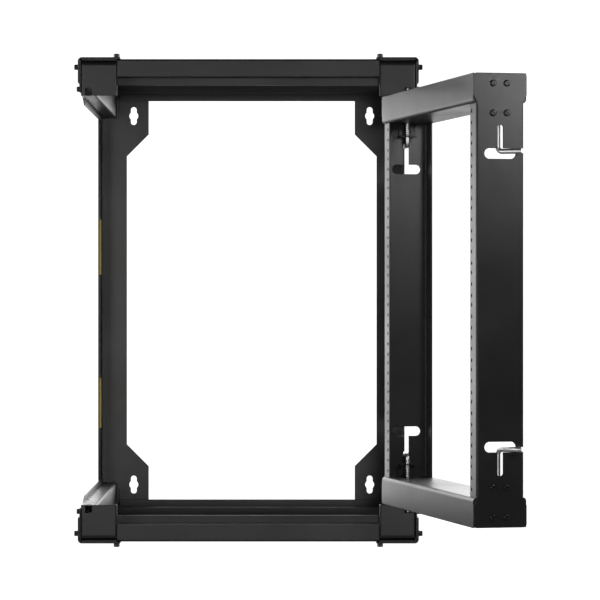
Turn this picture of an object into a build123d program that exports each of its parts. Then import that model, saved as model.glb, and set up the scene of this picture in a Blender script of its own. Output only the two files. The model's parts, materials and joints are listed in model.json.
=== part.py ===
from build123d import *
from math import cos, radians, sin
import os

# Wall-mount open frame rack with a swing-out gate, in millimetres.
# X runs to the right, Y towards the wall, Z up. The wall is the plane Y = 0,
# and the origin is the centre of the four wall keyholes.

# Rack standard that the gate carries
rack_units = 12
unit_height = 44.45
unit_holes = (6.35, 22.225, 38.1)
rack_opening = 450.0
hole_from_opening = 7.55
rack_hole = 5.5

# Sheet thicknesses and bends
sheet = 2.0
bar_sheet = 2.5
strap_sheet = 2.5
bend = 3.0
cut_margin = 1.0

# Swing-out gate
opening_angle = 102.2
opening_margin = 3.8
end_channel_height = 41.2
end_channel_depth = 76.0
end_channel_bend = 5.0
upright_width = 30.3
upright_depth = 68.0
lobe_straight = 30.0
lobe_taper = 11.2
lobe_corner = 5.0

# Spring pins: rod, handle, travel and where the pin stands in the gate
pin_inset = 11.0
pin_diameter = 7.5
pin_clearance = 0.3
pin_proud = 0.8
pin_tip_chamfer = 1.2
pin_travel = 32.6
pin_bend = 7.0
handle_reach = 36.6
handle_end_round = 1.0
parked_angle = 50.0
handle_gap = 0.2

# Inverted T slot that the handle works in
slot_length = 44.6
slot_height = 14.4
slot_from_end = 103.4
stem_clearance = 0.4

# Pin bracket, spring, washer and retaining clip
bracket_from_end = 61.7
bracket_width = 26.0
bracket_depth = 20.0
bracket_leg = 18.5
spring_wire = 0.9
spring_diameter = 10.3
spring_turns = 11
spring_parked = 17.4
spring_seat_gap = 0.05
washer_diameter = 11.5
washer_height = 1.0
clip_diameter = 10.6
clip_height = 0.8
clip_mouth = 4.6
groove_depth = 0.7
spring_hole = 13.0

# Gate screws: rows from the gate's end, and half their spacing across it
screw_rows = (14.0, 55.0)
screw_offset = 9.8
screw_diameter = 4.0
screw_clearance = 0.25
screw_head = 9.5
screw_head_height = 2.4
screw_head_round = 2.0
screw_socket = 2.5
screw_socket_depth = 1.3
tab_width = 32.0
tab_height = 36.0

# Wall frame
frame_depth = 580.0
gate_end_clearance = 1.3
pin_from_front = 12.0
pin_to_arm_side = 14.1
arm_width = 26.0
arm_height = 52.0
skirt_drop = 7.4
skirt_start = 109.0
skirt_slope_start = 62.0
front_edge_rise = 5.3
arm_rear_flange = 4.4
arm_flange_rise = 10.0
arm_slot_width = 3.5
arm_slot_length = 14.0
arm_slot_count = 9
arm_slot_inset = 5.4
arm_slot_from_front = 123.0
arm_slot_from_wall = 50.0

# Wall rails with their keyhole tabs
rail_depth = 73.0
rail_flange = 45.3
tab_reach = 37.6
tab_straight = 285.7
keyhole_from_tab_edge = 25.7
keyhole_from_end = 52.0
keyhole_circle = 15.3
keyhole_slot_width = 10.1
keyhole_slot_length = 30.8

# Crossbars between the arms
bar_depth = 58.0
bar_front_leg = 27.1
bar_rear_leg = 36.5
rear_bar_front_leg = 17.1
rear_bar_wall_leg = 26.5
rear_tab_from_wall = 10.0
rear_tab_height = 21.0
cope_clearance = 0.2

# Corner brackets and the straps over them
corner_width = 55.4
corner_bend = 8.0
corner_return = 10.0
corner_edge_round = 3.0
corner_flange_reach = 5.0
corner_flange_gap = 1.5
corner_side_length = 90.0
notch_width = 10.0
notch_height = 12.0
strap_bend = 6.0
strap_length = 80.0
strap_bolt_gap = 1.3

# Hex flange bolts and hex nuts of the frame
bolt_diameter = 6.0
bolt_clearance = 0.3
nut_clearance = 0.1
hex_across = 8.0
head_flange = 12.2
head_flange_height = 2.0
head_height = 6.6
head_chamfer = 0.8
nut_across = 10.0
nut_height = 5.2
nut_chamfer = 0.5
upper_bolt_from_front = 20.0
upper_bolt_drop = 7.0
lower_bolt_from_front = 38.0
lower_bolt_rise = 12.5
bar_bolt_from_front = 18.0
bar_bolt_inset = 1.3
rear_bolt_depths = (20.0, 54.0)
rear_bolt_rise = 30.0

# Places that follow from the sizes above
gate_half_width = rack_opening / 2 + upright_width
opening_half_height = rack_units * unit_height / 2 + opening_margin
gate_half_height = opening_half_height + end_channel_height
plate_inner = gate_half_width - sheet
pin_x = gate_half_width - pin_inset
pin_y = pin_from_front - frame_depth
pin_radius = pin_diameter / 2

slot_top = gate_half_height - slot_from_end
slot_middle = slot_top - slot_height / 2
handle_parked_z = slot_top - pin_radius - handle_gap
stem_top = handle_parked_z + pin_travel + pin_radius + handle_gap
stem_width = pin_diameter + 2 * stem_clearance
pin_tip_z = gate_half_height + pin_proud

bracket_bottom = gate_half_height - bracket_from_end
spring_base = bracket_bottom + sheet
washer_parked_z = spring_base + spring_parked

arm_bottom = gate_half_height + gate_end_clearance
arm_top = arm_bottom + arm_height
arm_outer = pin_x + pin_to_arm_side
arm_inner = arm_outer - arm_width
bracket_top = arm_top + sheet
bar_top = bracket_top + bar_sheet
strap_top = bar_top + strap_sheet
keyhole_z = bar_top - keyhole_from_end
rail_outer = arm_outer + sheet
corner_outer = arm_outer - sheet
corner_inner = corner_outer - corner_width
front = -frame_depth
plate_back = front + sheet
flange_inner = corner_inner - corner_flange_reach
skirt_edge = arm_bottom - skirt_drop
front_edge = arm_bottom + front_edge_rise
bar_front = plate_back
bar_back = bar_front + bar_depth
bar_bolt_x = corner_inner + bar_bolt_inset
bar_bolt_y = front + bar_bolt_from_front
upper_bolt = (front + upper_bolt_from_front, arm_top - upper_bolt_drop)
lower_bolt = (front + lower_bolt_from_front, arm_bottom + lower_bolt_rise)
strap_low = lower_bolt[1] + head_flange / 2 + strap_bolt_gap
rear_bolts = [(-depth, arm_bottom + rear_bolt_rise) for depth in rear_bolt_depths]
rear_bar_face = -sheet - bar_depth
rear_bar_bolt = ((rear_bar_face - rear_tab_from_wall) / 2, bar_top - rear_tab_height / 2 - bar_sheet)
hole_radius = bolt_diameter / 2 + bolt_clearance

# Gate coordinates: X across the gate with the hinge side negative, Y towards the
# room when the gate is shut, Z up. This places them at the photographed opening.
gate_place = (
    Location((pin_x, pin_y, 0), (0, 0, 180 + opening_angle)) * Location((pin_x, 0, 0))
)


def folded(plane, points, thickness, radius, length):
    """A sheet folded along its outer line and extruded from a plane."""
    with BuildPart() as piece:
        with BuildSketch(plane):
            with BuildLine():
                FilletPolyline(*points, radius=radius)
                offset(amount=thickness, side=Side.LEFT)
            make_face()
        extrude(amount=length)
    return piece.part


def plate(plane, points, thickness):
    """A flat plate with the given outline, raised from a plane."""
    with BuildPart() as piece:
        with BuildSketch(plane):
            with BuildLine():
                Polyline(*points, close=True)
            make_face()
        extrude(amount=thickness)
    return piece.part


def slab(low, high):
    """A rectangular plate between two opposite corners."""
    size = [top - bottom for bottom, top in zip(low, high)]
    with BuildPart() as piece:
        with Locations(low):
            Box(*size, align=(Align.MIN, Align.MIN, Align.MIN))
    return piece.part


def holes(plane, points, radius, depth):
    """Round punches that stand on a plane, for cutting holes."""
    with BuildPart() as punches:
        with BuildSketch(plane):
            with Locations(*points):
                Circle(radius)
        extrude(amount=depth)
    return punches.part


def mirrored(part, side, level):
    """The right upper piece, mirrored to the left where side is -1 and down where level is -1."""
    copy = part
    if side < 0:
        copy = mirror(copy, about=Plane.YZ, mode=Mode.PRIVATE)
    if level < 0:
        copy = mirror(copy, about=Plane.XY, mode=Mode.PRIVATE)
    return copy


def placed(piece, seats):
    """Copies of a piece that stands on the origin, one on each seat plane."""
    with BuildPart() as copies:
        with Locations(*[seat.location for seat in seats]):
            add(piece)
    return copies.part


# Wall rail: an angle with a keyhole tab at each end
with BuildPart() as wall_rail:
    add(
        folded(
            Plane.XY.offset(-bar_top),
            [(rail_outer, -rail_depth), (rail_outer, 0), (rail_outer - rail_flange, 0)],
            sheet,
            bend,
            2 * bar_top,
        )
    )
    flange_edge = rail_outer - rail_flange
    tab_edge = flange_edge - tab_reach
    for level in (1, -1):
        add(
            plate(
                Plane.XZ,
                [
                    (flange_edge + cut_margin, level * bar_top),
                    (tab_edge, level * bar_top),
                    (tab_edge, level * tab_straight),
                    (flange_edge, level * (tab_straight - tab_reach)),
                    (flange_edge + cut_margin, level * (tab_straight - tab_reach)),
                ],
                sheet,
            )
        )
    keyholes = [(tab_edge + keyhole_from_tab_edge, level * keyhole_z) for level in (1, -1)]
    with BuildSketch(Plane.XZ):
        with Locations(*keyholes):
            Circle(keyhole_circle / 2)
            SlotOverall(keyhole_slot_length, keyhole_slot_width, rotation=90)
    extrude(amount=sheet, mode=Mode.SUBTRACT)
    for level in (1, -1):
        spots = [(y, level * z) for y, z in rear_bolts]
        add(holes(Plane.YZ.offset(arm_outer), spots, hole_radius, sheet), mode=Mode.SUBTRACT)

# Depth arm: a channel open away from the gate, whose outer wall hangs lower
# behind the gate and is cut back at the front so that the gate can swing past it
with BuildPart() as arm:
    add(
        folded(
            Plane.XZ.offset(bend),
            [
                (arm_inner, arm_top),
                (arm_inner, arm_bottom),
                (arm_outer, arm_bottom),
                (arm_outer, arm_top),
            ],
            sheet,
            bend,
            frame_depth - bend,
        )
    )
    add(
        plate(
            Plane.YZ.offset(arm_outer - sheet),
            [
                (-bend, arm_bottom + bend),
                (-bend, skirt_edge),
                (front + skirt_start, skirt_edge),
                (front + skirt_slope_start, front_edge),
            ],
            sheet,
        )
    )
    add(
        plate(
            Plane.YZ.offset(arm_outer - bend),
            [
                (front + skirt_start, skirt_edge),
                (front + skirt_slope_start, front_edge),
                (front - cut_margin, front_edge),
                (front - cut_margin, skirt_edge),
            ],
            bend + cut_margin,
        ),
        mode=Mode.SUBTRACT,
    )
    add(
        slab(
            (arm_inner - arm_rear_flange, -bend - sheet, arm_bottom + arm_flange_rise),
            (arm_inner, -bend, arm_top),
        )
    )
    add(
        slab(
            (arm_inner - cut_margin, front - cut_margin, arm_bottom - cut_margin),
            (corner_outer, plate_back, arm_top + cut_margin),
        ),
        mode=Mode.SUBTRACT,
    )
    add(
        slab(
            (arm_inner - cut_margin, front - cut_margin, bracket_top - corner_bend),
            (corner_outer, front + corner_bend, arm_top + cut_margin),
        ),
        mode=Mode.SUBTRACT,
    )
    pin_bore = pin_radius + pin_clearance
    add(holes(Plane.XY.offset(arm_bottom), [(pin_x, pin_y)], pin_bore, sheet), mode=Mode.SUBTRACT)
    slot_run = frame_depth - arm_slot_from_front - arm_slot_from_wall
    with BuildSketch(Plane.XY.offset(arm_bottom)):
        for step in range(arm_slot_count):
            slot_y = front + arm_slot_from_front + slot_run * step / (arm_slot_count - 1)
            with Locations((arm_outer - arm_slot_inset, slot_y)):
                SlotOverall(arm_slot_length, arm_slot_width, rotation=90)
    extrude(amount=sheet, mode=Mode.SUBTRACT)
    side_bolts = [upper_bolt, lower_bolt, *rear_bolts]
    wall_plane = Plane.YZ.offset(arm_outer - sheet)
    add(holes(wall_plane, side_bolts, hole_radius, sheet), mode=Mode.SUBTRACT)
    inner_plane = Plane.YZ.offset(arm_inner)
    add(holes(inner_plane, [rear_bar_bolt], hole_radius, sheet), mode=Mode.SUBTRACT)

# Corner bracket: closes the front of the arm, with a rounded top bend, a side
# flange inside the arm, and a notch that shows the gate's pin
with BuildPart() as corner_bracket:
    flange_back = bar_back - bar_sheet - corner_flange_gap
    add(
        folded(
            Plane.YZ.offset(flange_inner),
            [(flange_back, bracket_top), (front, bracket_top), (front, arm_bottom)],
            sheet,
            corner_bend,
            corner_outer - flange_inner,
        )
    )
    add(
        slab(
            (flange_inner - cut_margin, front - cut_margin, arm_bottom - cut_margin),
            (corner_inner, front + corner_bend, bracket_top + cut_margin),
        ),
        mode=Mode.SUBTRACT,
    )
    side_back = front + corner_side_length
    add(
        plate(
            Plane.YZ.offset(corner_outer - sheet),
            [
                (plate_back, bracket_top - corner_bend),
                (plate_back, front_edge),
                (side_back, front_edge),
                (side_back, arm_top),
                (front + corner_bend, arm_top),
            ],
            sheet,
        )
    )
    add(
        slab(
            (corner_inner, plate_back, arm_bottom),
            (corner_inner + sheet, front + corner_return, bracket_top - corner_bend),
        )
    )
    for edge_x, inward in ((corner_outer, -1), (corner_inner, 1)):
        with BuildSketch(Plane.XY.offset(arm_bottom)):
            half_round = corner_edge_round / 2
            with Locations((edge_x + inward * half_round, front + half_round)):
                Rectangle(corner_edge_round, corner_edge_round)
            with Locations((edge_x + inward * corner_edge_round, front + corner_edge_round)):
                Circle(corner_edge_round, mode=Mode.SUBTRACT)
        extrude(amount=arm_height + sheet, mode=Mode.SUBTRACT)
    add(
        slab(
            (pin_x - notch_width / 2, front - cut_margin, arm_bottom - cut_margin),
            (pin_x + notch_width / 2, plate_back + cut_margin, arm_bottom + notch_height),
        ),
        mode=Mode.SUBTRACT,
    )
    flange_plane = Plane.XY.offset(arm_top)
    add(
        holes(flange_plane, [(bar_bolt_x, bar_bolt_y)], hole_radius, sheet),
        mode=Mode.SUBTRACT,
    )
    side_plane = Plane.YZ.offset(corner_outer - sheet)
    add(holes(side_plane, [upper_bolt, lower_bolt], hole_radius, sheet), mode=Mode.SUBTRACT)

# Corner strap: an angle over the corner, outside the arm and on top of the crossbar
with BuildPart() as corner_strap:
    add(
        folded(
            Plane.XZ.offset(frame_depth - strap_length),
            [
                (arm_outer + strap_sheet, strap_low),
                (arm_outer + strap_sheet, strap_top),
                (flange_inner, strap_top),
            ],
            strap_sheet,
            strap_bend,
            strap_length,
        )
    )
    strap_plane = Plane.XY.offset(bar_top)
    add(
        holes(strap_plane, [(bar_bolt_x, bar_bolt_y)], hole_radius, strap_sheet),
        mode=Mode.SUBTRACT,
    )
    leg_plane = Plane.YZ.offset(arm_outer)
    add(holes(leg_plane, [upper_bolt], hole_radius, strap_sheet), mode=Mode.SUBTRACT)

# Front crossbar: a channel with unequal legs, whose web runs on over both corner
# brackets and ends under the straps
with BuildPart() as front_bar:
    add(
        folded(
            Plane.YZ.offset(-arm_inner),
            [
                (bar_back, bar_top - bar_rear_leg),
                (bar_back, bar_top),
                (bar_front, bar_top),
                (bar_front, bar_top - bar_front_leg),
            ],
            bar_sheet,
            bend,
            2 * arm_inner,
        )
    )
    cope_edge = corner_inner - cope_clearance
    for low_x, high_x in ((-arm_inner, -cope_edge), (cope_edge, arm_inner)):
        add(
            slab(
                (low_x - cut_margin * (low_x < 0), front, bar_top - bar_rear_leg),
                (high_x + cut_margin * (high_x > cope_edge), front + corner_bend, bracket_top),
            ),
            mode=Mode.SUBTRACT,
        )
    web_end = arm_outer + strap_sheet - strap_bend - cope_clearance
    for low_x, high_x in ((-web_end, -cope_edge), (cope_edge, web_end)):
        add(slab((low_x, front, bracket_top), (high_x, bar_back - bend, bar_top)))
    add(
        holes(
            Plane.XY.offset(bracket_top),
            [(-bar_bolt_x, bar_bolt_y), (bar_bolt_x, bar_bolt_y)],
            hole_radius,
            bar_sheet,
        ),
        mode=Mode.SUBTRACT,
    )

# Rear crossbar: the front one's section with shorter legs, standing on the wall
# rails, with an end tab bent down against the inner wall of each arm
with BuildPart() as rear_bar:
    rear_bar_end = arm_inner - arm_rear_flange - cope_clearance
    add(
        folded(
            Plane.YZ.offset(-rear_bar_end),
            [
                (-sheet, bar_top - rear_bar_wall_leg),
                (-sheet, bar_top),
                (rear_bar_face, bar_top),
                (rear_bar_face, bar_top - rear_bar_front_leg),
            ],
            bar_sheet,
            bend,
            2 * rear_bar_end,
        )
    )
    tab_front = rear_bar_face + bend
    for side in (1, -1):
        tab_faces = sorted((side * arm_inner, side * (arm_inner - bar_sheet)))
        web_ends = sorted((side * arm_inner, side * rear_bar_end))
        add(
            slab(
                (web_ends[0], tab_front, bar_top - bar_sheet),
                (web_ends[1], -rear_tab_from_wall, bar_top),
            )
        )
        add(
            slab(
                (tab_faces[0], tab_front, bar_top - bar_sheet - rear_tab_height),
                (tab_faces[1], -rear_tab_from_wall, bar_top - bar_sheet),
            )
        )
        add(
            holes(Plane.YZ.offset(tab_faces[0]), [rear_bar_bolt], hole_radius, bar_sheet),
            mode=Mode.SUBTRACT,
        )

# Gate upright, the latch side: a channel whose wall-side flange has the rack's
# mounting holes, with wider lobes at both ends and the slots for two handles
half_upright = upright_depth / 2
half_end = end_channel_depth / 2
gate_rows = [gate_half_height - row for row in screw_rows]
with BuildPart() as upright:
    add(
        folded(
            Plane.XY.offset(-opening_half_height),
            [
                (rack_opening / 2, -half_upright),
                (gate_half_width, -half_upright),
                (gate_half_width, half_upright),
                (rack_opening / 2, half_upright),
            ],
            sheet,
            bend,
            2 * opening_half_height,
        )
    )
    for level in (1, -1):
        taper_end = gate_half_height - lobe_straight - lobe_taper
        add(
            plate(
                Plane.YZ.offset(plate_inner),
                [
                    (half_upright - bend, level * (taper_end - bend)),
                    (half_upright - cut_margin, level * taper_end),
                    (half_end, level * (taper_end + lobe_taper)),
                    (half_end, level * gate_half_height),
                    (-half_end, level * gate_half_height),
                    (-half_end, level * (taper_end + lobe_taper)),
                    (cut_margin - half_upright, level * taper_end),
                    (bend - half_upright, level * (taper_end - bend)),
                ],
                sheet,
            )
        )
    bottom_hole = -rack_units * unit_height / 2
    hole_heights = [
        bottom_hole + unit * unit_height + step for unit in range(rack_units) for step in unit_holes
    ]
    add(
        holes(
            Plane.XZ.offset(half_upright - sheet),
            [(rack_opening / 2 + hole_from_opening, height) for height in hole_heights],
            rack_hole / 2,
            sheet,
        ),
        mode=Mode.SUBTRACT,
    )
    with BuildSketch(Plane.YZ.offset(plate_inner)):
        with Locations((0, slot_middle), (0, -slot_middle)):
            SlotOverall(slot_length, slot_height)
        stem_low = slot_middle
        for level in (1, -1):
            with Locations((0, level * (stem_low + stem_top) / 2)):
                SlotOverall(stem_top - stem_low, stem_width, rotation=90)
    extrude(amount=sheet, mode=Mode.SUBTRACT)
    screw_hole = screw_diameter / 2 + screw_clearance
    screw_spots = [
        (side * screw_offset, level * row)
        for row in gate_rows
        for side in (1, -1)
        for level in (1, -1)
    ]
    upright_plane = Plane.YZ.offset(plate_inner)
    add(holes(upright_plane, screw_spots, screw_hole, sheet), mode=Mode.SUBTRACT)
    lobe_edges = upright.edges().filter_by(Axis.X).group_by(Axis.Z)
    fillet([*lobe_edges[0], *lobe_edges[-1]], radius=lobe_corner)

# Gate end channel, the upper one: its web faces the opening, and a tab at each
# end is screwed to the upright
with BuildPart() as end_channel:
    add(
        folded(
            Plane.YZ.offset(-plate_inner),
            [
                (-half_end, gate_half_height),
                (-half_end, opening_half_height),
                (half_end, opening_half_height),
                (half_end, gate_half_height),
            ],
            sheet,
            end_channel_bend,
            2 * plate_inner,
        )
    )
    for tab_x in (-plate_inner, plate_inner - sheet):
        add(
            slab(
                (tab_x, -tab_width / 2, opening_half_height),
                (tab_x + sheet, tab_width / 2, opening_half_height + tab_height),
            )
        )
        spots = [(-screw_offset, gate_rows[0]), (screw_offset, gate_rows[0])]
        add(holes(Plane.YZ.offset(tab_x), spots, screw_hole, sheet), mode=Mode.SUBTRACT)
    add(
        holes(
            Plane.XY.offset(opening_half_height),
            [(-pin_x, 0), (pin_x, 0)],
            spring_hole / 2,
            sheet,
        ),
        mode=Mode.SUBTRACT,
    )

# Pin bracket: an angle inside the upright that guides the pin and backs its spring
with BuildPart() as pin_bracket:
    add(
        folded(
            Plane.XZ.offset(-bracket_width / 2),
            [
                (plate_inner - bracket_depth, bracket_bottom),
                (plate_inner, bracket_bottom),
                (plate_inner, bracket_bottom + bracket_leg),
            ],
            sheet,
            bend,
            bracket_width,
        )
    )
    add(
        holes(Plane.XY.offset(bracket_bottom), [(pin_x, 0)], pin_bore, sheet),
        mode=Mode.SUBTRACT,
    )
    spots = [(-screw_offset, gate_rows[1]), (screw_offset, gate_rows[1])]
    leg_plane = Plane.YZ.offset(plate_inner - sheet)
    add(holes(leg_plane, spots, screw_hole, sheet), mode=Mode.SUBTRACT)


def spring_pin(shift, turn):
    """An L-shaped pin on the latch side, moved out by shift with its handle turned."""
    handle_z = handle_parked_z + shift
    clip_z = washer_parked_z + washer_height + shift
    reach = (handle_reach * cos(radians(turn)), handle_reach * sin(radians(turn)))
    with BuildPart() as pin:
        with BuildLine():
            FilletPolyline(
                (pin_x, 0, pin_tip_z + shift),
                (pin_x, 0, handle_z),
                (pin_x + reach[0], reach[1], handle_z),
                radius=pin_bend,
            )
        with BuildSketch(Plane.XY.offset(pin_tip_z + shift)):
            with Locations((pin_x, 0)):
                Circle(pin_radius)
        sweep()
        tip = pin.edges().filter_by(GeomType.CIRCLE).group_by(Axis.Z)[-1]
        chamfer(tip, length=pin_tip_chamfer)
        end_point = Vector(pin_x + reach[0], reach[1], handle_z)
        end_edge = pin.edges().filter_by(GeomType.CIRCLE).sort_by_distance(end_point)[0]
        fillet(end_edge, radius=handle_end_round)
        with BuildSketch(Plane.XY.offset(clip_z)):
            with Locations((pin_x, 0)):
                Circle(pin_radius + cut_margin)
                Circle(pin_radius - groove_depth, mode=Mode.SUBTRACT)
        extrude(amount=clip_height, mode=Mode.SUBTRACT)
    return pin.part


def spring_washer(shift):
    """The washer that the spring pushes on."""
    with BuildPart() as washer:
        with BuildSketch(Plane.XY.offset(washer_parked_z + shift)):
            with Locations((pin_x, 0)):
                Circle(washer_diameter / 2)
                Circle(pin_radius + pin_clearance, mode=Mode.SUBTRACT)
        extrude(amount=washer_height)
    return washer.part


def retaining_clip(shift):
    """An open ring that snaps into the pin's groove and holds the washer."""
    clip_bore = pin_radius - groove_depth
    with BuildPart() as clip:
        with BuildSketch(Plane.XY.offset(washer_parked_z + washer_height + shift)):
            with Locations((pin_x, 0)):
                Circle(clip_diameter / 2)
                Circle(clip_bore, mode=Mode.SUBTRACT)
            with Locations((pin_x - clip_diameter / 2, 0)):
                Rectangle(clip_diameter, clip_mouth, mode=Mode.SUBTRACT)
        extrude(amount=clip_height)
    return clip.part


def pin_spring(shift):
    """The compression spring between the bracket and the washer."""
    coil_base = spring_base + spring_wire / 2 + spring_seat_gap
    coil_height = spring_parked + shift - spring_wire - 2 * spring_seat_gap
    coil_radius = (spring_diameter - spring_wire) / 2
    with BuildPart() as spring:
        with BuildLine() as coil:
            Helix(
                pitch=coil_height / spring_turns,
                height=coil_height,
                radius=coil_radius,
                center=(pin_x, 0, coil_base),
            )
        with BuildSketch(Plane(coil.line @ 0, z_dir=coil.line % 0)):
            Circle(spring_wire / 2)
        sweep(is_frenet=True)
    return spring.part


above = (Align.CENTER, Align.CENTER, Align.MIN)
below = (Align.CENTER, Align.CENTER, Align.MAX)


def button_screw():
    """A button head screw with a hex socket, its seat at the origin and its head upwards."""
    with BuildPart() as screw:
        Cylinder(screw_head / 2, screw_head_height, align=above)
        fillet(screw.edges().group_by(Axis.Z)[-1], radius=screw_head_round)
        Cylinder(screw_diameter / 2, 2 * sheet, align=below)
        with BuildSketch(Plane.XY.offset(screw_head_height - screw_socket_depth)):
            RegularPolygon(screw_socket / 2, 6, major_radius=False)
        extrude(amount=screw_socket_depth, mode=Mode.SUBTRACT)
    return screw.part


def gate_screws():
    """The eight button head screws of one side of the gate."""
    seats = [
        Plane((gate_half_width, y, z), x_dir=(0, 1, 0), z_dir=(1, 0, 0)) for y, z in screw_spots
    ]
    return placed(button_screw(), seats)


def hex_bolt(length):
    """A hex flange bolt, its seat at the origin and its head upwards."""
    with BuildPart() as bolt:
        with BuildSketch():
            RegularPolygon(hex_across / 2, 6, major_radius=False)
        extrude(amount=head_height)
        chamfer(bolt.edges().group_by(Axis.Z)[-1], length=head_chamfer)
        Cone(head_flange / 2, hex_across / 2, head_flange_height, align=above)
        Cylinder(bolt_diameter / 2, length, align=below)
    return bolt.part


def hex_nut():
    """A hex nut on the origin."""
    with BuildPart() as nut:
        with BuildSketch():
            RegularPolygon(nut_across / 2, 6, major_radius=False)
        extrude(amount=nut_height)
        chamfer(nut.edges().group_by(Axis.Z)[-1], length=nut_chamfer)
        bore = bolt_diameter / 2 + nut_clearance
        Cylinder(bore, nut_height, align=above, mode=Mode.SUBTRACT)
    return nut.part


# Seats of the frame's bolts and nuts
corners = [(side, level) for side in (1, -1) for level in (1, -1)]


def side_seats(x, spots, outward):
    """Planes on the sides of the frame, at the given distance from its middle."""
    return [
        Plane((side * x, y, level * z), x_dir=(0, 1, 0), z_dir=(side * outward, 0, 0))
        for side, level in corners
        for y, z in spots
    ]


def level_seats(z, outward):
    """Planes above and below the frame, where the straps are bolted down."""
    return [
        Plane(
            (side * bar_bolt_x, bar_bolt_y, level * z),
            x_dir=(1, 0, 0),
            z_dir=(0, 0, level * outward),
        )
        for side, level in corners
    ]


wall_thickness = strap_sheet + 2 * sheet
clamped = strap_sheet + bar_sheet + sheet
strap_seats = side_seats(arm_outer + strap_sheet, [upper_bolt], 1)
arm_seats = side_seats(arm_outer, [lower_bolt], 1)
side_nut_seats = side_seats(corner_outer - sheet, [upper_bolt, lower_bolt], -1)
rail_seats = side_seats(rail_outer, rear_bolts, 1)
rail_nut_seats = side_seats(arm_outer - sheet, rear_bolts, -1)
rear_bar_seats = side_seats(arm_inner + sheet, [rear_bar_bolt], 1)
rear_bar_nut_seats = side_seats(arm_inner - bar_sheet, [rear_bar_bolt], -1)

# Every piece by name: the fixed frame first, then the gate at its opening
pieces = {
    "upper_side_bolts": placed(hex_bolt(wall_thickness + nut_height), strap_seats),
    "lower_side_bolts": placed(hex_bolt(2 * sheet + nut_height), arm_seats),
    "side_nuts": placed(hex_nut(), side_nut_seats),
    "crossbar_bolts": placed(hex_bolt(clamped + nut_height), level_seats(strap_top, 1)),
    "crossbar_nuts": placed(hex_nut(), level_seats(arm_top, -1)),
    "rail_bolts": placed(hex_bolt(2 * sheet + nut_height), rail_seats),
    "rail_nuts": placed(hex_nut(), rail_nut_seats),
    "rear_crossbar_bolts": placed(hex_bolt(sheet + bar_sheet + nut_height), rear_bar_seats),
    "rear_crossbar_nuts": placed(hex_nut(), rear_bar_nut_seats),
}
sides = {"right": 1, "left": -1}
levels = {"upper": 1, "lower": -1}
for side_name, side in sides.items():
    pieces[f"{side_name}_wall_rail"] = mirrored(wall_rail.part, side, 1)
    for level_name, level in levels.items():
        pieces[f"{level_name}_{side_name}_arm"] = mirrored(arm.part, side, level)
        bracket = mirrored(corner_bracket.part, side, level)
        pieces[f"{level_name}_{side_name}_corner_bracket"] = bracket
        pieces[f"{level_name}_{side_name}_corner_strap"] = mirrored(corner_strap.part, side, level)
for level_name, level in levels.items():
    pieces[f"{level_name}_front_crossbar"] = mirrored(front_bar.part, 1, level)
    pieces[f"{level_name}_rear_crossbar"] = mirrored(rear_bar.part, 1, level)

gate_sides = {"latch": (1, 0.0, parked_angle), "hinge": (-1, pin_travel, 0.0)}
for side_name, (side, shift, turn) in gate_sides.items():
    gate_pieces = {
        f"gate_{side_name}_upright": mirrored(upright.part, side, 1),
        f"gate_{side_name}_screws": mirrored(gate_screws(), side, 1),
    }
    for level_name, level in levels.items():
        stem = f"{level_name}_{side_name}"
        gate_pieces[f"{stem}_pin_bracket"] = mirrored(pin_bracket.part, side, level)
        gate_pieces[f"{stem}_pin"] = mirrored(spring_pin(shift, turn), side, level)
        gate_pieces[f"{stem}_washer"] = mirrored(spring_washer(shift), side, level)
        gate_pieces[f"{stem}_clip"] = mirrored(retaining_clip(shift), side, level)
        gate_pieces[f"{stem}_spring"] = mirrored(pin_spring(shift), side, level)
    for name, piece in gate_pieces.items():
        pieces[name] = piece.moved(gate_place)
for level_name, level in levels.items():
    channel = mirrored(end_channel.part, 1, level)
    pieces[f"gate_{level_name}_channel"] = channel.moved(gate_place)

os.makedirs("parts", exist_ok=True)
for name, piece in pieces.items():
    piece.label = name
    export_step(piece, f"parts/{name}.step")
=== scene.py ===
import json
import math

import bpy
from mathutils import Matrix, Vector


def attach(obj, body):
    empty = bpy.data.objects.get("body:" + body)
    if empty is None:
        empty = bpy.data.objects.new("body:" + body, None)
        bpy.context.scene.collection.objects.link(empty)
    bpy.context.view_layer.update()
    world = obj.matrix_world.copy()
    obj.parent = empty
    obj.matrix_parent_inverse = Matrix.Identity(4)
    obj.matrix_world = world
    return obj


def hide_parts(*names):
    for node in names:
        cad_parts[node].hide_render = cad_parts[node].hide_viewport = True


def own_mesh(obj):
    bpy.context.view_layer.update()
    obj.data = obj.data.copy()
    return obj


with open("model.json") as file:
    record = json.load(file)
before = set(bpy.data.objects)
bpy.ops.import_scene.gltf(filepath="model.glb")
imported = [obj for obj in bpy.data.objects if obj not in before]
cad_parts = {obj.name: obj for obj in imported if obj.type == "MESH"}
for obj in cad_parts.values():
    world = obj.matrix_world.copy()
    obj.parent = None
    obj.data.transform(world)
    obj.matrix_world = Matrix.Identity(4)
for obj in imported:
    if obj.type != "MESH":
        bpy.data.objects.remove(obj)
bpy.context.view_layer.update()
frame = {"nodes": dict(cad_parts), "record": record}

# Camera: level, straight at the wall, placed from the rack holes' image scale
CAMERA_PLACE = (0.047, -5.143, 0.0)
CAMERA_LENS = 179.0
CAMERA_SHIFT_X = 0.035
CAMERA_SHIFT_Y = 0.0005

# Gate: the hinge's axis, the opening angle and the pins' place in gate coordinates
HINGE = Vector((0.2443, -0.568, 0.0))
OPENING = math.radians(180 + 102.2)
PIN_X = 0.2443

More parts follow.
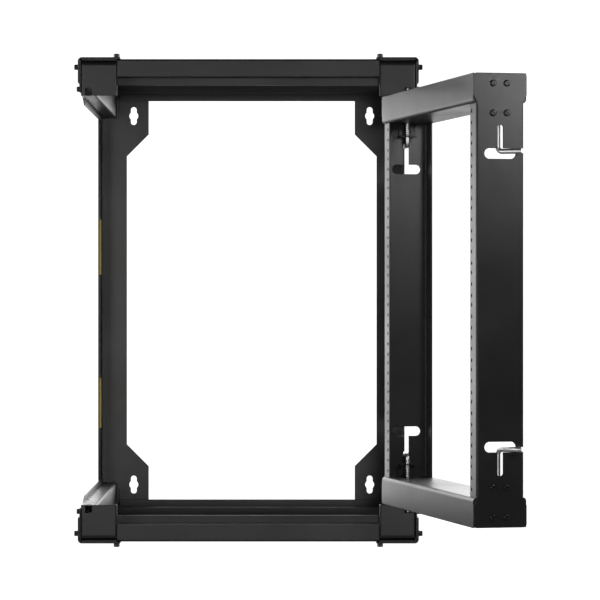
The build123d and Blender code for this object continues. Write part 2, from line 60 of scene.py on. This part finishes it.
# Springs: where they stand, how long they are at rest and what their pins can travel
SPRING_BASE = 0.252
SPRING_PARKED = 0.0174
PIN_TRAVEL = 0.0326
LATCH_SLACK = 0.0063
SPRING_WIRE = 0.0009
SPRING_RADIUS = 0.0047
SPRING_TURNS = 16
CLOSED_TURNS = 0.75
CLOSED_RISE = SPRING_WIRE * 0.9
SEAT_GAP = 0.00005
STEPS_PER_TURN = 20
WIRE_SIDES = 10

# Two plain yellow labels on the inner face of the left wall rail
LABEL_FACE_X = -0.2584
LABEL_THICKNESS = 0.0002
LABEL_Y = (-0.066, -0.012)
LABEL_SPANS = {"upper_label": (0.044, 0.138), "lower_label": (-0.218, -0.133)}
LABEL_CORNER = 0.003
LABEL_CORNER_STEPS = 5

# Floor: below the rack, wide enough to fill each view
FLOOR_Z = -1.6
FLOOR_REACH = 14.0
FLOOR_GLOW = 1.1

# World: what the camera sees, and how it lights the rack from the front and the back
SKY_STRENGTH = 1.2
FRONT_LEVEL = 0.015
BACK_LEVEL = 3.2
BACK_FROM = 0.3

# Lights: place, the point that each faces, width and height, and power in watts
LIGHTS = {
    "left_softbox": ((-0.7, -1.6, 0.1), (-0.2, -0.58, 0.1), (0.3, 0.8), 4.0),
    "far_softbox": ((0.3, -9.5, 0.05), (0.1, -0.6, 0.05), (0.6, 0.4), 52.0),
    "gate_light": ((0.9, -1.7, 0.46), (0.15, -0.6, 0.3), (0.3, 0.3), 4.2),
}


def gate_point(x, y, z):
    """A point in gate coordinates, given in the row frame."""
    along = Vector((math.cos(OPENING), math.sin(OPENING), 0.0))
    across = Vector((-along.y, along.x, 0.0))
    return HINGE + along * (x + PIN_X) + across * y + Vector((0.0, 0.0, z))


# Materials

class Nodes:
    """A material's node tree with short calls to fill it."""

    def __init__(self, name):
        self.material = bpy.data.materials.new(name)
        self.material.use_nodes = True
        self.tree = self.material.node_tree
        self.shader = self.tree.nodes["Principled BSDF"]

    def add(self, kind, **sockets):
        """A node of that kind, with the named sockets set or linked."""
        node = self.tree.nodes.new(kind)
        for name, value in sockets.items():
            self.set(node, name, value)
        return node

    def set(self, node, socket, value):
        """Sets a socket to a value, or links it to another socket."""
        if isinstance(value, bpy.types.NodeSocket):
            self.tree.links.new(value, node.inputs[socket])
        else:
            node.inputs[socket].default_value = value

    def surface(self, colour, roughness, metallic=0.0, normal=None):
        """Sets or links the shader's main sockets."""
        self.set(self.shader, "Base Color", colour)
        self.set(self.shader, "Roughness", roughness)
        self.set(self.shader, "Metallic", metallic)
        if normal is not None:
            self.set(self.shader, "Normal", normal)

    def ramp(self, source, low, high):
        """A colour ramp over a source socket, from a low to a high (position, colour) stop."""
        node = self.tree.nodes.new("ShaderNodeValToRGB")
        self.tree.links.new(source, node.inputs["Fac"])
        for element, (position, colour) in zip(node.color_ramp.elements, (low, high)):
            element.position = position
            element.color = (*colour, 1.0)
        return node.outputs["Color"]

    def noise(self, scale, detail=3.0):
        """Noise in object coordinates, which are the row frame's metres."""
        place = self.add("ShaderNodeTexCoord").outputs["Object"]
        node = self.add("ShaderNodeTexNoise", Vector=place, Scale=scale, Detail=detail)
        return node.outputs["Fac"]

    def bump(self, height, strength, distance):
        """A bump node over a height socket, with its depth in metres."""
        return self.add("ShaderNodeBump", Strength=strength, Distance=distance, Height=height)

    def bump_over_edges(self, height, strength, distance, radius):
        """Bump on top of softened edges, as rolled sheet and dipped paint have."""
        edges = self.add("ShaderNodeBevel", Radius=radius)
        edges.samples = 4
        node = self.bump(height, strength, distance)
        self.set(node, "Normal", edges.outputs["Normal"])
        return node


def grey(value):
    """A neutral colour."""
    return (value, value, value)


def powder_coat():
    """Black powder coat: a fine orange peel, slightly uneven gloss and colour."""
    nodes = Nodes("black_powder_coat")
    cloud = nodes.noise(scale=9.0, detail=4.0)
    peel = nodes.noise(scale=820.0)
    bump = nodes.bump_over_edges(peel, strength=0.5, distance=0.00025, radius=0.0016)
    nodes.surface(
        colour=nodes.ramp(cloud, (0.3, grey(0.009)), (0.7, grey(0.014))),
        roughness=nodes.ramp(cloud, (0.25, grey(0.30)), (0.75, grey(0.39))),
        normal=bump.outputs["Normal"],
    )
    return nodes.material


def black_metal(name, rough, base):
    """Black oxide or black zinc: smoother than the coat, with a dull metal sheen."""
    nodes = Nodes(name)
    grain = nodes.noise(scale=700.0)
    bump = nodes.bump_over_edges(grain, strength=0.15, distance=0.00005, radius=0.0004)
    nodes.surface(
        colour=nodes.ramp(grain, (0.3, grey(base)), (0.75, grey(base * 2.0))),
        roughness=nodes.ramp(grain, (0.3, grey(rough)), (0.7, grey(rough + 0.1))),
        metallic=0.4,
        normal=bump.outputs["Normal"],
    )
    return nodes.material


def bright_metal(name, rough, light):
    """Zinc plate or drawn wire: bright metal with dull patches and faint scratches."""
    nodes = Nodes(name)
    patch = nodes.noise(scale=120.0, detail=5.0)
    scratch = nodes.noise(scale=900.0, detail=2.0)
    bump = nodes.bump(scratch, strength=0.08, distance=0.00001)
    nodes.surface(
        colour=nodes.ramp(patch, (0.3, grey(light * 0.85)), (0.75, grey(light))),
        roughness=nodes.ramp(patch, (0.3, grey(rough)), (0.8, grey(rough + 0.08))),
        metallic=1.0,
        normal=bump.outputs["Normal"],
    )
    return nodes.material


def label_material():
    """A plain yellow film label, faintly uneven."""
    nodes = Nodes("yellow_label")
    fade = nodes.noise(scale=60.0)
    nodes.surface(
        colour=nodes.ramp(fade, (0.3, (0.50, 0.34, 0.03)), (0.75, (0.62, 0.44, 0.05))),
        roughness=nodes.ramp(fade, (0.3, grey(0.4)), (0.8, grey(0.5))),
    )
    return nodes.material


MATERIALS = {
    "black_powder_coat": powder_coat(),
    "black_bolts": black_metal("black_bolts", rough=0.34, base=0.03),
    "black_screws": black_metal("black_screws", rough=0.24, base=0.012),
    "bright_zinc": bright_metal("bright_zinc", rough=0.34, light=0.85),
    "spring_steel": bright_metal("spring_steel", rough=0.34, light=0.22),
}
LABEL = label_material()

for subpart in frame["record"]["subparts"]:
    node = frame["nodes"][subpart["node"]]
    node.data.materials.clear()
    node.data.materials.append(MATERIALS[subpart["material_slot"]])


# Pieces

def mesh_object(name, vertices, faces, material, smooth=True):
    """A mesh piece with one material."""
    mesh = bpy.data.meshes.new(name)
    mesh.from_pydata([tuple(v) for v in vertices], [], faces)
    mesh.update()
    mesh.materials.append(material)
    piece = bpy.data.objects.new(name, mesh)
    bpy.context.scene.collection.objects.link(piece)
    for polygon in mesh.polygons:
        polygon.use_smooth = smooth
    return piece


def wire(name, path, radius, material):
    """A closed round wire along a path of points."""
    vertices, faces = [], []
    normal = None
    for index, point in enumerate(path):
        before = path[max(index - 1, 0)]
        after = path[min(index + 1, len(path) - 1)]
        along = (after - before).normalized()
        if normal is None:
            normal = along.orthogonal().normalized()
        normal = (normal - along * normal.dot(along)).normalized()
        side = along.cross(normal)
        for step in range(WIRE_SIDES):
            turn = 2 * math.pi * step / WIRE_SIDES
            rim = normal * math.cos(turn) * radius + side * math.sin(turn) * radius
            vertices.append(point + rim)
    for ring in range(len(path) - 1):
        for step in range(WIRE_SIDES):
            a = ring * WIRE_SIDES + step
            b = ring * WIRE_SIDES + (step + 1) % WIRE_SIDES
            faces.append((a, b, b + WIRE_SIDES, a + WIRE_SIDES))
    last = (len(path) - 1) * WIRE_SIDES
    faces.append(tuple(range(WIRE_SIDES))[::-1])
    faces.append(tuple(last + step for step in range(WIRE_SIDES)))
    return mesh_object(name, vertices, faces, material)


def coil_height(turned, rise):
    """The wire's height after some turns: closed at both ends, even between."""
    left = SPRING_TURNS - turned
    if turned < CLOSED_TURNS:
        return CLOSED_RISE * turned / CLOSED_TURNS
    if left < CLOSED_TURNS:
        return rise - CLOSED_RISE * left / CLOSED_TURNS
    share = (turned - CLOSED_TURNS) / (SPRING_TURNS - 2 * CLOSED_TURNS)
    return CLOSED_RISE + (rise - 2 * CLOSED_RISE) * share


def coil_spring(name, side, level, length):
    """A compression spring with closed ends around a pin."""
    rise = length - SPRING_WIRE - 2 * SEAT_GAP
    foot = SPRING_BASE + SPRING_WIRE / 2 + SEAT_GAP
    path = []
    for step in range(SPRING_TURNS * STEPS_PER_TURN + 1):
        turned = step / STEPS_PER_TURN
        turn = 2 * math.pi * turned
        path.append(
            gate_point(
                side * PIN_X + SPRING_RADIUS * math.cos(turn),
                SPRING_RADIUS * math.sin(turn),
                level * (foot + coil_height(turned, rise)),
            )
        )
    return wire(name, path, SPRING_WIRE / 2, MATERIALS["spring_steel"])


for side_name, side, length, travel in (
    ("hinge", -1, SPRING_PARKED + PIN_TRAVEL, PIN_TRAVEL),
    ("latch", 1, SPRING_PARKED, LATCH_SLACK),
):
    for level_name, level in (("upper", 1), ("lower", -1)):
        stem = f"{level_name}_{side_name}"
        spring = coil_spring(f"{stem}_coil", side, level, length)
        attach(spring, "gate")
        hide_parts(f"{stem}_spring")
        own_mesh(spring)


def label(name, low_z, high_z):
    """A thin film label with rounded corners."""
    low_y, high_y = LABEL_Y
    corners = [
        (high_y - LABEL_CORNER, high_z - LABEL_CORNER, 0.0),
        (low_y + LABEL_CORNER, high_z - LABEL_CORNER, 90.0),
        (low_y + LABEL_CORNER, low_z + LABEL_CORNER, 180.0),
        (high_y - LABEL_CORNER, low_z + LABEL_CORNER, 270.0),
    ]
    outline = []
    for centre_y, centre_z, start in corners:
        for step in range(LABEL_CORNER_STEPS + 1):
            turn = math.radians(start + 90.0 * step / LABEL_CORNER_STEPS)
            y = centre_y + LABEL_CORNER * math.cos(turn)
            z = centre_z + LABEL_CORNER * math.sin(turn)
            outline.append((y, z))
    count = len(outline)
    vertices = [Vector((LABEL_FACE_X, y, z)) for y, z in outline]
    vertices += [Vector((LABEL_FACE_X + LABEL_THICKNESS, y, z)) for y, z in outline]
    faces = [tuple(range(count))[::-1], tuple(range(count, 2 * count))]
    faces += [
        (step, (step + 1) % count, count + (step + 1) % count, count + step)
        for step in range(count)
    ]
    return mesh_object(name, vertices, faces, LABEL, smooth=False)


for label_name, (low_z, high_z) in LABEL_SPANS.items():
    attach(label(label_name, low_z, high_z), "wall_frame")


# Floor, world, lights and camera

def seen_and_lit(tree, seen, lit):
    """Mixes two shaders: one that the camera sees, one that lights the rack."""
    ray = tree.nodes.new("ShaderNodeLightPath")
    mix = tree.nodes.new("ShaderNodeMixShader")
    tree.links.new(ray.outputs["Is Camera Ray"], mix.inputs["Fac"])
    tree.links.new(lit, mix.inputs[1])
    tree.links.new(seen, mix.inputs[2])
    return mix.outputs[0]


def floor_material():
    """A plain pale studio floor that throws little light back up."""
    nodes = Nodes("pale_floor")
    nodes.surface(colour=grey(0.2) + (1.0,), roughness=0.9)
    tone = nodes.ramp(nodes.noise(scale=2.0), (0.3, grey(0.97)), (0.7, grey(1.0)))
    pale = nodes.add("ShaderNodeEmission", Color=tone, Strength=FLOOR_GLOW)
    both = seen_and_lit(nodes.tree, pale.outputs[0], nodes.shader.outputs[0])
    nodes.set(nodes.tree.nodes["Material Output"], "Surface", both)
    return nodes.material


def stage_floor():
    """A wide floor well below the rack."""
    corners = [(-1, -1), (1, -1), (1, 1), (-1, 1)]
    vertices = [Vector((x * FLOOR_REACH, y * FLOOR_REACH, FLOOR_Z)) for x, y in corners]
    mesh_object("floor", vertices, [(0, 1, 2, 3)], floor_material())


def studio_world():
    """White all round for the camera; for the light a white rear half and a dim front half."""
    world = bpy.data.worlds.new("studio")
    bpy.context.scene.world = world
    world.use_nodes = True
    tree = world.node_tree
    tree.nodes.clear()
    place = tree.nodes.new("ShaderNodeTexCoord")
    split = tree.nodes.new("ShaderNodeSeparateXYZ")
    tree.links.new(place.outputs["Generated"], split.inputs[0])
    level = tree.nodes.new("ShaderNodeMapRange")
    level.interpolation_type = "SMOOTHSTEP"
    level.inputs["From Min"].default_value = 0.0
    level.inputs["From Max"].default_value = BACK_FROM
    level.inputs["To Min"].default_value = FRONT_LEVEL
    level.inputs["To Max"].default_value = BACK_LEVEL
    tree.links.new(split.outputs["Y"], level.inputs["Value"])
    lighting = tree.nodes.new("ShaderNodeBackground")
    tree.links.new(level.outputs["Result"], lighting.inputs["Strength"])
    seen = tree.nodes.new("ShaderNodeBackground")
    seen.inputs["Color"].default_value = (1.0, 1.0, 1.0, 1.0)
    seen.inputs["Strength"].default_value = SKY_STRENGTH
    output = tree.nodes.new("ShaderNodeOutputWorld")
    both = seen_and_lit(tree, seen.outputs[0], lighting.outputs[0])
    tree.links.new(both, output.inputs["Surface"])


def area_light(name, place, target, size, power):
    """A soft rectangular light that faces a target."""
    data = bpy.data.lights.new(name, "AREA")
    data.shape = "RECTANGLE"
    data.size, data.size_y = size
    data.energy = power
    light = bpy.data.objects.new(name, data)
    bpy.context.scene.collection.objects.link(light)
    light.location = place
    facing = Vector(target) - Vector(place)
    light.rotation_euler = facing.to_track_quat("-Z", "Y").to_euler()


def add_camera():
    """The camera at the photograph's place and angle."""
    data = bpy.data.cameras.new("camera")
    data.lens = CAMERA_LENS
    data.shift_x = CAMERA_SHIFT_X
    data.shift_y = CAMERA_SHIFT_Y
    camera = bpy.data.objects.new("camera", data)
    bpy.context.scene.collection.objects.link(camera)
    camera.location = CAMERA_PLACE
    camera.rotation_euler = (math.radians(90), 0.0, 0.0)
    bpy.context.scene.camera = camera


stage_floor()
studio_world()
for light_name, setting in LIGHTS.items():
    area_light(light_name, *setting)
add_camera()
bpy.context.scene.view_settings.view_transform = "Standard"
